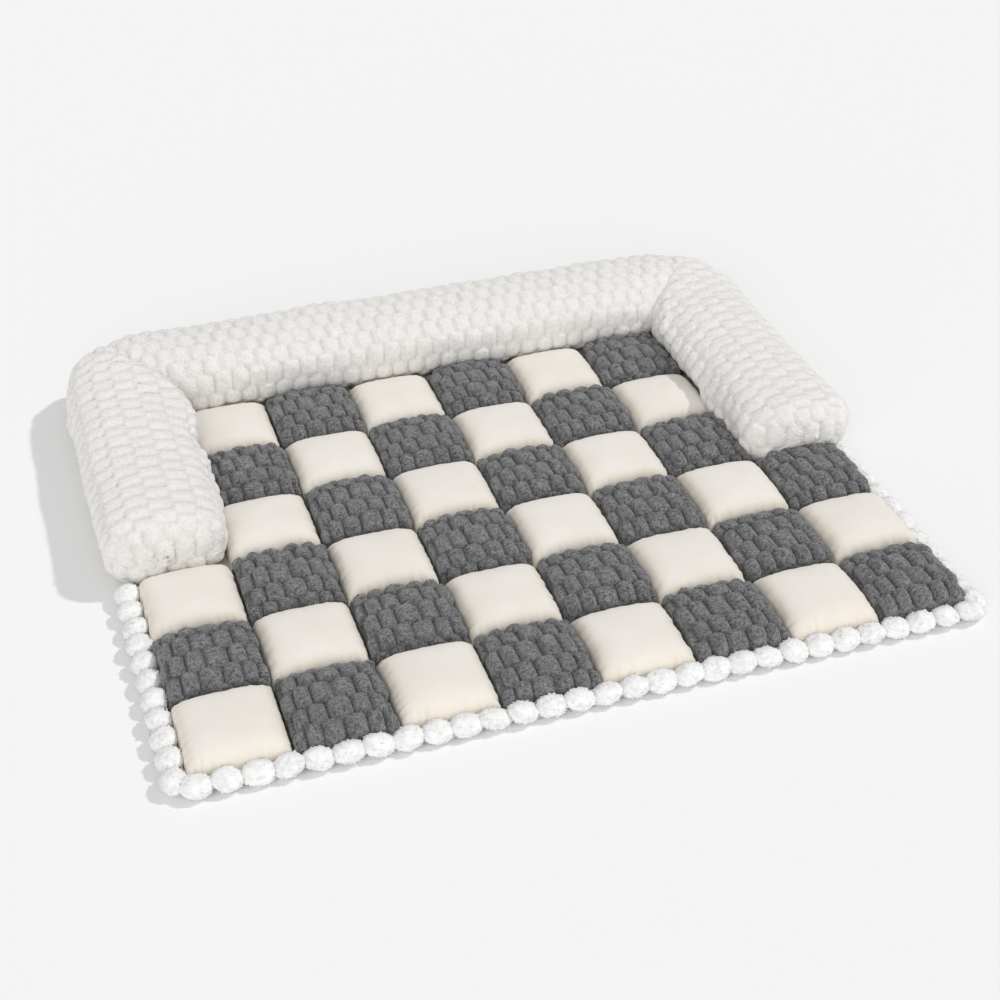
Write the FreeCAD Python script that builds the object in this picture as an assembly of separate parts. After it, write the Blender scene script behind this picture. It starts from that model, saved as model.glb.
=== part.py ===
import FreeCAD, Part
import math
import os

os.makedirs("parts", exist_ok=True)

# Puff-quilted pet mat with a U-shaped bolster and a pompom edge.  Millimetres, +Z up.
# The front edge faces -Y, and the origin is at the middle of the underside.

# Driving dimensions of the mat
columns = 8                 # puffs across the full width
front_rows = 3              # full-width rows in front of the arms
back_rows = 3               # shorter rows between the arms
cell = 100.0                # pitch of the quilted squares
puff_gap = 1.0              # seam between two neighbouring puffs
puff_height = 33.0
puff_corner_radius = 14.0   # seen from above
puff_crown_radius = 24.0    # seen from the side
velvet_thickness = 1.2
plush_thickness = 3.0
backing_thickness = 1.0
lining_thickness = 1.0

# Driving dimensions of the bolster
bolster_width = 130.0
bolster_height = 78.0
bolster_section_radius = 36.0
bolster_overhang = 30.0     # how far the arms stand out past the mat's side edges
bolster_corner_radius = 62.0
arm_end_plan_radius = 34.0
arm_end_crown_radius = 30.0
bolster_cloth = 4.0

# Driving dimensions of the pompom trim
pompom_radius = 13.5
pompom_space = 1.0          # least space between two pompoms
pompom_lift = 0.4           # underside of a pompom above the underside of the mat
pompom_flat = 1.0           # depth of the flat where a pompom is sewn on
tape_thickness = 2.0
tape_height = 12.0

# Driving dimensions of the zip in the rear of the bolster
zip_length = 420.0
zip_plain_end = 6.0         # plain tape beyond each stop
zip_tape_width = 12.0
zip_tape_thickness = 0.8
zip_coil_width = 2.0
zip_coil_thickness = 2.4
zip_middle_gap = 1.0        # between the two coils
zip_recess_margin = 1.0
zip_opening_margin = 1.5    # between the slider and the slot through the cover
zip_cover_margin = 0.9      # from the slider's top to the face of the bolster
stop_length = 3.0
stop_wall = 0.8
slider_length = 15.0
slider_height = 10.0
slider_plate = 1.3
slider_clearance = 0.3
slider_post_length = 3.0
bail_span = 8.4
bail_width = 2.4
bail_bar = 1.0
pull_length = 27.0
pull_thickness = 1.2
pull_clearance = 0.35
pull_side_bar = 1.3
pull_side_clearance = 1.0
pull_window_margin = 1.8

# Places worked out from the driving dimensions
rows = front_rows + back_rows
mat_width = columns * cell
pompom_pitch = 2.0 * pompom_radius + pompom_space
trim_depth = tape_thickness - pompom_flat + 2.0 * pompom_radius
mat_depth = rows * cell + bolster_width
total_depth = trim_depth + mat_depth
front_y = -total_depth / 2.0 + trim_depth       # front edge of the first row
rear_y = front_y + mat_depth                    # rear face of the bolster
base_top = backing_thickness + lining_thickness
side_x = mat_width / 2.0
bolster_x = side_x + bolster_overhang           # outer face of an arm
arm_front_y = front_y + front_rows * cell
inner_x = bolster_x - bolster_width
inner_y = rear_y - bolster_width
bolster_top = base_top + bolster_height
section_radius = min(bolster_section_radius, bolster_height / 2.0 - 1.0)
crown_radius = min(arm_end_crown_radius, bolster_height / 2.0 - 1.0)
far = 4.0 * (mat_width + mat_depth)             # longer than anything that is cut

# The zip's own heights, outwards from the middle of its tapes
half_coil = zip_coil_thickness / 2.0
plate_inside = half_coil + slider_clearance
plate_outside = plate_inside + slider_plate
bail_gap = pull_thickness + 2.0 * pull_clearance
bail_outside = plate_outside + bail_gap + bail_bar
half_tape = zip_tape_thickness / 2.0
zip_recess_depth = half_tape + bail_outside + zip_cover_margin
zip_z = base_top + bolster_height / 2.0
zip_y = rear_y - zip_recess_depth + half_tape   # middle of the tapes' thickness
coil_half_length = zip_length / 2.0 - zip_plain_end - stop_length
coil_edge = zip_middle_gap / 2.0 + zip_coil_width
slider_x = coil_half_length - slider_length / 2.0
pull_y = zip_y + plate_outside + bail_gap / 2.0
pull_width = bail_width + 2.0 * (pull_side_clearance + pull_side_bar)
pull_window = bail_span / 2.0 + pull_window_margin


def outline(low_u, low_v, high_u, high_v, radii):
    """Lines and arcs of a rectangle; radii go anticlockwise from the low corner."""
    corners = [(low_u, low_v), (high_u, low_v), (high_u, high_v), (low_u, high_v)]
    turns = [(1, 1), (-1, 1), (-1, -1), (1, -1)]
    starts = [math.pi, 1.5 * math.pi, 0.0, 0.5 * math.pi]
    pieces = []
    ends = []
    for (u, v), (du, dv), start, radius in zip(corners, turns, starts, radii):
        if radius <= 0.0:
            ends.append(((u, v), (u, v), None))
            continue
        centre = (u + du * radius, v + dv * radius)
        arc = [(centre[0] + radius * math.cos(start + step * math.pi / 4.0),
                centre[1] + radius * math.sin(start + step * math.pi / 4.0)) for step in range(3)]
        ends.append((arc[0], arc[2], arc))
    for index, (first, last, arc) in enumerate(ends):
        if arc:
            pieces.append(arc)
        following = ends[(index + 1) % 4][0]
        if math.dist(last, following) > 1e-6:
            pieces.append([last, following])
    return pieces


def prism(pieces, place, direction):
    """Extrude an outline; place turns its two coordinates into a point."""
    edges = []
    for piece in pieces:
        points = [FreeCAD.Vector(*place(u, v)) for u, v in piece]
        edges.append(Part.Arc(*points).toShape() if len(points) == 3
                     else Part.LineSegment(*points).toShape())
    face = Part.Face(Part.Wire(Part.__sortEdges__(edges)))
    return face.extrude(FreeCAD.Vector(*direction))


def box(low, high):
    return Part.makeBox(high[0] - low[0], high[1] - low[1], high[2] - low[2], FreeCAD.Vector(*low))


def rounded_block(low, high, plan, front_view, side_view):
    """A block that is rounded in each of its three views."""
    seen_above = prism(outline(low[0], low[1], high[0], high[1], plan),
                       lambda u, v: (u, v, low[2]), (0, 0, high[2] - low[2]))
    seen_front = prism(outline(low[0], low[2], high[0], high[2], front_view),
                       lambda u, v: (u, low[1], v), (0, high[1] - low[1], 0))
    seen_side = prism(outline(low[1], low[2], high[1], high[2], side_view),
                      lambda u, v: (low[0], u, v), (high[0] - low[0], 0, 0))
    return seen_above.common(seen_front).common(seen_side)


def save(shape, node):
    shape.exportStep("parts/" + node + ".step")


def puff_block(inset):
    """One puff about its own centre, shrunk by the thickness of its cloth."""
    half = (cell - puff_gap) / 2.0 - inset
    low = (-half, -half, base_top + inset)
    high = (half, half, base_top + puff_height - inset)
    plan = max(puff_corner_radius - inset, 1.0)
    crown = max(min(puff_crown_radius, puff_height - 2.0) - inset, 1.0)
    view = [0.0, 0.0, crown, crown]
    return rounded_block(low, high, [plan] * 4, view, view)


def puff_cells():
    """Row and column of each puff, with its centre; the arms cover the outer back cells."""
    for row in range(rows):
        edge = 0 if row < front_rows else 1
        for column in range(edge, columns - edge):
            centre = FreeCAD.Vector((column + 0.5) * cell - side_x, front_y + (row + 0.5) * cell, 0)
            yield row, column, centre


def make_puffs():
    """Alternate velvet and plush puffs, each a closed casing round its own fibre pad."""
    casing = {}
    pad = {}
    for name, thickness in (("cream", velvet_thickness), ("grey", plush_thickness)):
        pad[name] = puff_block(thickness)
        casing[name] = puff_block(0.0).cut(pad[name])
    pads = []
    for row, column, centre in puff_cells():
        name = "cream" if (row + column) % 2 == 0 else "grey"
        save(casing[name].translated(centre), f"{name}_puff_r{row + 1}_c{column + 1}")
        pads.append(pad[name].translated(centre))
    save(Part.makeCompound(pads), "puff_fills")


def make_base():
    """Non-slip cloth underneath, and the lining that the puffs are sewn to."""
    low_y = front_y - tape_thickness
    side = side_x + tape_thickness
    backing = box((-side, low_y, 0.0), (side, rear_y - bolster_overhang, backing_thickness))
    lining = box((-side, low_y, backing_thickness), (side, rear_y - bolster_overhang, base_top))
    save(backing, "nonslip_backing")
    save(lining, "base_lining")


def mitre_wedge(side, keep_arm):
    """Space on one side of the 45-degree corner seam, to cut from a limb."""
    corner = (side * bolster_x, rear_y)
    inward = (corner[0] - side * far, corner[1] - far)
    outward = (corner[0] + side * far, corner[1] + far)
    third = (inward[0], outward[1]) if keep_arm else (outward[0], inward[1])
    points = [FreeCAD.Vector(x, y, -far) for x, y in (inward, outward, third, inward)]
    return Part.Face(Part.makePolygon(points)).extrude(FreeCAD.Vector(0, 0, 2.0 * far))


def bolster_back(inset):
    section = [section_radius - inset] * 4
    corner = bolster_corner_radius - inset
    low = (-bolster_x + inset, inner_y + inset, base_top + inset)
    high = (bolster_x - inset, rear_y - inset, bolster_top - inset)
    limb = rounded_block(low, high, [0.0, 0.0, corner, corner], [0.0] * 4, section)
    return limb.cut(mitre_wedge(-1, False)).cut(mitre_wedge(1, False))


def bolster_arm(side, inset):
    section = [section_radius - inset] * 4
    corner = bolster_corner_radius - inset
    end = arm_end_plan_radius - inset
    crown = crown_radius - inset
    edges = sorted((side * (inner_x + inset), side * (bolster_x - inset)))
    low = (edges[0], arm_front_y + inset, base_top + inset)
    high = (edges[1], rear_y - inset, bolster_top - inset)
    plan = [end, end, corner, 0.0] if side > 0 else [end, end, 0.0, corner]
    limb = rounded_block(low, high, plan, section, [crown, 0.0, 0.0, crown])
    return limb.cut(mitre_wedge(side, True))


def zip_space(depth, half_height, half_length):
    """A block that reaches in from the rear face of the bolster, round the zip."""
    return box((-half_length, rear_y - depth, zip_z - half_height),
               (half_length, rear_y + 1.0, zip_z + half_height))


def make_bolster():
    """Three limbs of cover, mitred at the corners, each round its own fibre core."""
    reach = coil_edge + zip_tape_width + zip_recess_margin
    half = max(zip_length / 2.0, slider_x + pull_length) + zip_recess_margin
    recess = zip_space(zip_recess_depth, reach, half)
    pocket = zip_space(zip_recess_depth + bolster_cloth, reach + bolster_cloth, half + bolster_cloth)
    opening = zip_space(zip_recess_depth + bolster_cloth, slider_height / 2.0 + zip_opening_margin,
                        coil_half_length + stop_length)
    back_core = bolster_back(bolster_cloth).cut(pocket)
    save(bolster_back(0.0).cut(back_core).cut(recess).cut(opening), "bolster_cover_back")
    save(back_core, "bolster_fill_back")
    for side, name in ((-1, "left"), (1, "right")):
        core = bolster_arm(side, bolster_cloth)
        save(bolster_arm(side, 0.0).cut(core), "bolster_cover_" + name)
        save(core, "bolster_fill_" + name)


def pompom(centre, outward):
    """A ball turned about its own axis, flat where it is sewn to the tape."""
    up = FreeCAD.Vector(0, 0, 1)
    reach = pompom_radius - pompom_flat
    flat = centre - outward * reach
    rim = flat + up * math.sqrt(pompom_radius ** 2 - reach ** 2)
    tip = centre + outward * pompom_radius
    arc = Part.Arc(rim, centre + up * pompom_radius, tip).toShape()
    profile = Part.Wire([Part.makeLine(flat, rim), arc, Part.makeLine(tip, flat)])
    return Part.Face(profile).revolve(centre, outward, 360)


def pompom_row(first, last, outward):
    """Pompoms spread evenly from the first place to the last."""
    count = int((last - first).Length // pompom_pitch) + 1
    step = (last - first) * (1.0 / (count - 1))
    return Part.makeCompound([pompom(first + step * index, outward) for index in range(count)])


def make_trim():
    """Pompoms along the front and the open sides, and the tape that carries them."""
    z = pompom_lift + pompom_radius
    stand_off = tape_thickness + pompom_radius - pompom_flat
    row_y = front_y - stand_off
    row_x = side_x + stand_off
    end_x = side_x - pompom_radius / 2.0
    first_y = row_y + math.sqrt(pompom_pitch ** 2 - (row_x - end_x) ** 2)
    last_y = arm_front_y - pompom_radius - pompom_space
    save(pompom_row(FreeCAD.Vector(-end_x, row_y, z), FreeCAD.Vector(end_x, row_y, z),
                    FreeCAD.Vector(0, -1, 0)), "pompoms_front")
    for side, name in ((-1, "left"), (1, "right")):
        save(pompom_row(FreeCAD.Vector(side * row_x, first_y, z), FreeCAD.Vector(side * row_x, last_y, z),
                        FreeCAD.Vector(side, 0, 0)), "pompoms_" + name)
    low = (-side_x - tape_thickness, front_y - tape_thickness, base_top)
    high = (side_x + tape_thickness, arm_front_y, base_top + tape_height)
    hollow = box((-side_x, front_y, -far), (side_x, far, far))
    save(box(low, high).cut(hollow), "pompom_tape")


def zip_box(x_range, y_range, z_range):
    """A box placed from the middle of the zip; the y and z ranges may be given either way round."""
    y_low, y_high = sorted(y_range)
    z_low, z_high = sorted(z_range)
    return box((x_range[0], zip_y + y_low, zip_z + z_low), (x_range[1], zip_y + y_high, zip_z + z_high))


def make_zip_tapes():
    """Two cloth tapes, each with half of the coil, and a metal stop at each end."""
    half = zip_length / 2.0
    tapes = []
    for side, name in ((-1, "lower"), (1, "upper")):
        near = side * zip_middle_gap / 2.0
        web = zip_box((-half, half), (-half_tape, half_tape), (near, side * (coil_edge + zip_tape_width)))
        coil = zip_box((-coil_half_length, coil_half_length), (-half_coil, half_coil), (near, side * coil_edge))
        tapes.append(web.fuse(coil).removeSplitter())
        save(tapes[-1], "zip_tape_" + name)
    stops = []
    for low_x in (-coil_half_length - stop_length, coil_half_length):
        block = zip_box((low_x, low_x + stop_length), (-half_coil - stop_wall, half_coil + stop_wall),
                        (-coil_edge, coil_edge))
        stops.append(block.cut(tapes[0]).cut(tapes[1]))
    save(Part.makeCompound(stops), "zip_stops")


def make_slider():
    """Two plates joined by the post between the coils, with a bail for the pull tab."""
    span = (slider_x - slider_length / 2.0, slider_x + slider_length / 2.0)
    half_height = slider_height / 2.0
    lip = half_tape + slider_clearance
    lip_height = coil_edge + slider_clearance
    post = zip_middle_gap / 2.0 - slider_clearance
    body = zip_box((span[1] - slider_post_length, span[1]), (-plate_inside, plate_inside), (-post, post))
    for face in (-1, 1):
        body = body.fuse(zip_box(span, (face * plate_inside, face * plate_outside),
                                 (-half_height, half_height)))
        for edge in (-1, 1):
            body = body.fuse(zip_box(span, (face * lip, face * plate_inside),
                                     (edge * lip_height, edge * half_height)))
    half_span = bail_span / 2.0
    bail = zip_box((slider_x - half_span, slider_x + half_span), (plate_outside, bail_outside),
                   (-bail_width / 2.0, bail_width / 2.0))
    under = zip_box((slider_x - half_span + bail_bar, slider_x + half_span - bail_bar),
                    (plate_outside, plate_outside + bail_gap), (-bail_width, bail_width))
    save(body.fuse(bail.cut(under)).removeSplitter(), "zip_slider")


def make_pull():
    """A tab whose end bar turns under the slider's bail, with a window round the bail."""
    half_thick = pull_thickness / 2.0
    half_width = pull_width / 2.0
    end = half_width - slider_clearance
    tab = prism(outline(slider_x - pull_length, zip_z - half_width, slider_x, zip_z + half_width,
                        [end, 0.0, 0.0, end]),
                lambda u, v: (u, pull_y - half_thick, v), (0, pull_thickness, 0))
    window = box((slider_x - pull_window, pull_y - half_thick, zip_z - half_width + pull_side_bar),
                 (slider_x - half_thick, pull_y + half_thick, zip_z + half_width - pull_side_bar))
    bar = Part.makeCylinder(half_thick, pull_width, FreeCAD.Vector(slider_x, pull_y, zip_z - half_width))
    save(tab.cut(window).fuse(bar).removeSplitter(), "zip_pull")


make_puffs()
make_base()
make_bolster()
make_trim()
make_zip_tapes()
make_slider()
make_pull()
print("front", round(front_y, 3), "rear", round(rear_y, 3), "top", round(bolster_top, 3))
print("inside corner", round(inner_x, 3), round(inner_y, 3), "arm front", round(arm_front_y, 3))
print("pull pivot", round(slider_x, 3), round(pull_y, 3), round(zip_z, 3))
print("slider travel", round(2.0 * coil_half_length - slider_length, 3))
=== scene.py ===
import math
import random

import bmesh
import bpy
import numpy as np
from mathutils import Matrix, Vector, noise


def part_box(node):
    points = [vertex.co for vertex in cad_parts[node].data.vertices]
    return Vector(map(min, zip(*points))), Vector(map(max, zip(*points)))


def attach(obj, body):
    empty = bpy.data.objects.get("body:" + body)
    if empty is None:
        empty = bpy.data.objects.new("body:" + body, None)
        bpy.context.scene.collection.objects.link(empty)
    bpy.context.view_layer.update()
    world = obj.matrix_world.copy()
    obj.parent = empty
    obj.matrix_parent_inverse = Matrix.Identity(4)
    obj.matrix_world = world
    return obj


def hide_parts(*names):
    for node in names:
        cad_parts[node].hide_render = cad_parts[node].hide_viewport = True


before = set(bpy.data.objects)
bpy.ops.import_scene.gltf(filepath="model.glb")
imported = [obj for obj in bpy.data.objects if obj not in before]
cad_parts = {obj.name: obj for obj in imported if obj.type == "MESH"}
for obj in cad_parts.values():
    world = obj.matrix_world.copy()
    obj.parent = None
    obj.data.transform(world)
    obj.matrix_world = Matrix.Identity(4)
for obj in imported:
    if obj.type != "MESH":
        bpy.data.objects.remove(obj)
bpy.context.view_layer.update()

scene = bpy.context.scene
mm = 0.001

# sizes read from the frame, in metres
columns, rows, fullRows = 8, 6, 3
firstLow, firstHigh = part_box("cream_puff_r1_c1")
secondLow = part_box("grey_puff_r1_c2")[0]
cell = secondLow[0] - firstLow[0]                  # pitch of the squares
seamGap = cell - (firstHigh[0] - firstLow[0])
matFront = firstLow[1] - seamGap / 2
baseTop = firstLow[2]                              # top of the lining
armLow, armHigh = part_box("bolster_cover_right")
bolsterWidth = armHigh[0] - armLow[0]
bolsterHeight = armHigh[2] - armLow[2]
bolsterSide = armHigh[0]                           # outer face of an arm
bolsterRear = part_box("bolster_cover_back")[1][1]
armFront = armLow[1]


# helpers

def dressed(name, bm, material, smooth=True):
    mesh = bpy.data.meshes.new(name)
    bm.to_mesh(mesh)
    bm.free()
    mesh.polygons.foreach_set("use_smooth", [smooth] * len(mesh.polygons))
    mesh.materials.append(material)
    piece = bpy.data.objects.new(name, mesh)
    scene.collection.objects.link(piece)
    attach(piece, "bed")
    return piece


def nodeBox(node):
    return [Vector(point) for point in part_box(node)]


def onlyVerts(geometry):
    return [item for item in geometry if isinstance(item, bmesh.types.BMVert)]


def smoothStep(low, high, value):
    t = np.clip((value - low) / (high - low), 0.0, 1.0)
    return t * t * (3.0 - 2.0 * t)


def refine(grid, closed=False):
    # one cubic midpoint step along the first axis of an array of points
    if closed:
        before, after, far = np.roll(grid, 1, 0), np.roll(grid, -1, 0), np.roll(grid, -2, 0)
        middle = (9.0 * (grid + after) - before - far) / 16.0
        out = np.empty((2 * len(grid),) + grid.shape[1:])
        out[0::2], out[1::2] = grid, middle
        return out
    padded = np.concatenate([2 * grid[:1] - grid[1:2], grid, 2 * grid[-1:] - grid[-2:-1]])
    middle = (9.0 * (padded[1:-2] + padded[2:-1]) - padded[:-3] - padded[3:]) / 16.0
    out = np.empty((2 * len(grid) - 1,) + grid.shape[1:])
    out[0::2], out[1::2] = grid, middle
    return out


def softNoise(points, size, seed):
    offset = Vector((seed * 7.31, seed * 3.17, seed * 5.93))
    return np.array([noise.noise(Vector(p) / size + offset) for p in points])


bubble = {
    "halfWidth": 0.53,       # all in pitches of the bubbles, so that neighbours just overlap
    "halfLength": 0.62,
    "wander": (0.07, 0.10),  # of a bubble across and along its row
    "barrel": 2.3,           # higher is squarer, across the bubble and along it
    "ends": 4.5,
    "softness": 0.65,
    "uneven": 0.22,          # of the bubbles' heights
    "slope": 0.20,           # how far each bubble leans over the next row
}


def plushBubbles(across, along, seed):
    # rows of overlapping pillows, each row half a pillow along: 0 in the pits, about 1 on top
    row = np.floor(along)
    height = np.zeros(across.shape)
    for up in (-1, 0, 1, 2):
        line = row + up
        shift = 0.5 * np.mod(line, 2.0)
        base = np.floor(across - shift)
        for side in (-1, 0, 1, 2):
            place = base + side
            rollX = np.mod(np.sin(place * 127.1 + line * 311.7 + seed * 74.7) * 43758.5453, 1.0) - 0.5
            rollY = np.mod(np.sin(place * 269.5 + line * 183.3 + seed * 31.9) * 24634.6345, 1.0) - 0.5
            dx = (across - (place + shift + bubble["wander"][0] * rollX)) / bubble["halfWidth"]
            dy = (along - (line + bubble["wander"][1] * rollY)) / bubble["halfLength"]
            barrel = np.clip(1 - np.abs(dx) ** bubble["barrel"], 0, 1) ** bubble["softness"]
            ends = np.clip(1 - np.abs(dy) ** bubble["ends"], 0, 1) ** bubble["softness"]
            tall = 1 + bubble["uneven"] * rollX - bubble["slope"] * dy
            height = np.maximum(height, barrel * ends * tall)
    return height


def pile(shape, amount, seed):
    # short uneven fibres: a small random lift for each point, a little smoothed
    lift = np.random.RandomState(seed).normal(0.0, 1.0, shape)
    lift = (2 * lift + np.roll(lift, 1, 0) + np.roll(lift, 1, 1)) / 2.45
    return np.clip(lift, -2.0, 2.5) * amount


def gridNormals(points, closed=False):
    if closed:
        du = np.roll(points, -1, 1) - np.roll(points, 1, 1)
    else:
        du = np.gradient(points, axis=1)
    dv = np.gradient(points, axis=0)
    cross = np.cross(du, dv)
    return cross / np.maximum(np.linalg.norm(cross, axis=-1, keepdims=True), 1e-12)


def gridMesh(points, closed=False, values=None, valueName="bubble"):
    # a mesh from rows of points, closed round the second axis when asked
    rings, spots = points.shape[:2]
    bm = bmesh.new()
    bmesh.ops.create_grid(bm, x_segments=spots if closed else spots - 1, y_segments=rings - 1, size=1.0)
    wide = spots + 1 if closed else spots
    order = bm.verts.layers.int.new("order")
    layer = bm.verts.layers.float.new(valueName)
    for index, vert in enumerate(bm.verts):
        ring, spot = divmod(index, wide)
        spot %= spots
        vert.co = points[ring, spot]
        vert[order] = ring * spots + spot
        if values is not None:
            vert[layer] = values[ring, spot]
    if closed:
        bmesh.ops.remove_doubles(bm, verts=bm.verts[:], dist=0.02 * mm)
    return bm


def inflate(points, pinned, pressure, slack, frames, most, closed=False):
    # stuff a cloth held at its pinned points, and cap how far each point moves
    bm = gridMesh(points, closed)
    order = [vert[bm.verts.layers.int["order"]] for vert in bm.verts]
    mesh = bpy.data.meshes.new("stuffing")
    bm.to_mesh(mesh)
    bm.free()
    piece = bpy.data.objects.new("stuffing", mesh)
    scene.collection.objects.link(piece)
    flatPins = pinned.reshape(-1)
    group = piece.vertex_groups.new(name="seam")
    group.add([index for index, spot in enumerate(order) if flatPins[spot]], 1.0, "REPLACE")
    cloth = piece.modifiers.new("stuffing", "CLOTH")
    settings = cloth.settings
    settings.quality = 6
    settings.mass = 0.3
    settings.tension_stiffness = settings.compression_stiffness = 15.0
    settings.shear_stiffness = 5.0
    settings.bending_stiffness = 0.4
    settings.air_damping = 3.0
    settings.vertex_group_mass = "seam"
    settings.use_pressure = True
    settings.uniform_pressure_force = pressure
    settings.shrink_min = -slack
    settings.effector_weights.gravity = 0.0
    cloth.collision_settings.use_collision = False
    scene.frame_start, scene.frame_end = 1, frames
    for number in range(1, frames + 1):
        scene.frame_set(number)
    shape = piece.evaluated_get(bpy.context.evaluated_depsgraph_get())
    moved = np.empty(3 * len(order))
    shape.data.vertices.foreach_get("co", moved)
    scene.frame_set(1)
    bpy.data.objects.remove(piece)
    out = points.reshape(-1, 3).copy()
    out[order] = moved.reshape(-1, 3)
    step = out - points.reshape(-1, 3)
    size = np.linalg.norm(step, axis=1, keepdims=True)
    step *= np.minimum(1.0, most / np.maximum(size, 1e-9))
    return (points.reshape(-1, 3) + step).reshape(points.shape)


# materials

def nodeMaterial(name, roughness):
    material = bpy.data.materials.new(name)
    material.use_nodes = True
    shader = material.node_tree.nodes["Principled BSDF"]
    shader.inputs["Roughness"].default_value = roughness
    return material, material.node_tree.nodes, material.node_tree.links, shader


def noiseNode(nodes, links, vector, scale, detail, roughness=0.55):
    node = nodes.new("ShaderNodeTexNoise")
    node.inputs["Scale"].default_value = scale
    node.inputs["Detail"].default_value = detail
    node.inputs["Roughness"].default_value = roughness
    links.new(vector, node.inputs["Vector"])
    return node.outputs["Fac"]


def rampNode(nodes, links, value, stops):
    node = nodes.new("ShaderNodeValToRGB")
    ramp = node.color_ramp
    while len(ramp.elements) < len(stops):
        ramp.elements.new(0.5)
    for element, (position, colour) in zip(ramp.elements, stops):
        element.position = position
        element.color = (*colour, 1.0)
    links.new(value, node.inputs["Fac"])
    return node.outputs["Color"]


def mixNode(nodes, links, factor, first, second, blend="MIX"):
    node = nodes.new("ShaderNodeMix")
    node.data_type = "RGBA"
    node.blend_type = blend
    for socket, value in ((node.inputs["Factor"], factor), (node.inputs[6], first), (node.inputs[7], second)):
        if hasattr(value, "links"):
            links.new(value, socket)
        elif isinstance(value, tuple):
            socket.default_value = (*value, 1.0)
        else:
            socket.default_value = value
    return node.outputs[2]


def bumpNode(nodes, links, height, strength, distance, normal=None):
    node = nodes.new("ShaderNodeBump")
    node.inputs["Strength"].default_value = strength
    node.inputs["Distance"].default_value = distance
    links.new(height, node.inputs["Height"])
    if normal:
        links.new(normal, node.inputs["Normal"])
    return node.outputs["Normal"]


def objectCoordinates(nodes, links, scale=(1.0, 1.0, 1.0)):
    place = nodes.new("ShaderNodeTexCoord")
    mapping = nodes.new("ShaderNodeMapping")
    mapping.inputs["Scale"].default_value = scale
    links.new(place.outputs["Object"], mapping.inputs["Vector"])
    return mapping.outputs["Vector"]


def velvetMaterial():
    material, nodes, links, shader = nodeMaterial("creamVelvet", 0.9)
    place = objectCoordinates(nodes, links)
    cloud = noiseNode(nodes, links, place, 22.0, 3.0)
    nap = noiseNode(nodes, links, place, 1500.0, 2.0)
    colour = rampNode(nodes, links, cloud, [(0.3, (0.795, 0.755, 0.695)), (0.7, (0.84, 0.805, 0.75))])
    fine = rampNode(nodes, links, nap, [(0.3, (0.95, 0.95, 0.95)), (0.7, (1.0, 1.0, 1.0))])
    colour = mixNode(nodes, links, 1.0, colour, fine, "MULTIPLY")
    # near its seams the velvet is painted warmer and darker: painted shade where the puffs meet
    brim = nodes.new("ShaderNodeAttribute")
    brim.attribute_name = "bubble"
    colour = mixNode(nodes, links, brim.outputs["Fac"],
                     mixNode(nodes, links, 1.0, colour, (1.0, 0.965, 0.91), "MULTIPLY"), colour)
    links.new(colour, shader.inputs["Base Color"])
    links.new(bumpNode(nodes, links, nap, 0.25, 0.0004), shader.inputs["Normal"])
    shader.inputs["Sheen Weight"].default_value = 0.25
    shader.inputs["Sheen Roughness"].default_value = 0.5
    shader.inputs["Specular IOR Level"].default_value = 0.2
    return material


def plushMaterial(name, paintedGrooveShade, dark, light, fleck, bumpStrength):
    material, nodes, links, shader = nodeMaterial(name, 1.0)
    place = objectCoordinates(nodes, links)
    height = nodes.new("ShaderNodeAttribute")
    height.attribute_name = "bubble"
    fibres = noiseNode(nodes, links, place, 620.0, 3.0, 0.65)
    locks = noiseNode(nodes, links, place, 250.0, 3.0, 0.65)
    cloud = noiseNode(nodes, links, place, 60.0, 2.0)
    body = rampNode(nodes, links, cloud, [(0.3, dark), (0.7, light)])
    # the pits between the bubbles take a darker colour by the bubble height: painted shade in the grooves
    rise = nodes.new("ShaderNodeMapRange")
    rise.inputs["From Min"].default_value = 0.0
    rise.inputs["From Max"].default_value = 0.85
    links.new(height.outputs["Fac"], rise.inputs["Value"])
    colour = mixNode(nodes, links, rise.outputs["Result"], paintedGrooveShade, body)
    for grain, most in ((fibres, 0.60), (locks, 0.56)):
        speckle = rampNode(nodes, links, grain, [(0.36, (fleck, fleck, fleck)), (most, (1.0, 1.0, 1.0))])
        colour = mixNode(nodes, links, 1.0, colour, speckle, "MULTIPLY")
    links.new(colour, shader.inputs["Base Color"])
    rough = bumpNode(nodes, links, locks, bumpStrength, 0.003)
    links.new(bumpNode(nodes, links, fibres, bumpStrength, 0.0012, rough), shader.inputs["Normal"])
    shader.inputs["Sheen Weight"].default_value = 0.5
    shader.inputs["Sheen Roughness"].default_value = 0.6
    shader.inputs["Specular IOR Level"].default_value = 0.1
    return material


def yarnMaterial():
    material, nodes, links, shader = nodeMaterial("pompomYarn", 1.0)
    place = objectCoordinates(nodes, links)
    strands = noiseNode(nodes, links, place, 900.0, 3.0, 0.6)
    colour = rampNode(nodes, links, strands, [(0.3, (0.84, 0.84, 0.83)), (0.65, (0.93, 0.93, 0.925))])
    links.new(colour, shader.inputs["Base Color"])
    links.new(bumpNode(nodes, links, strands, 0.5, 0.0008), shader.inputs["Normal"])
    shader.inputs["Specular IOR Level"].default_value = 0.1
    return material


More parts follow.
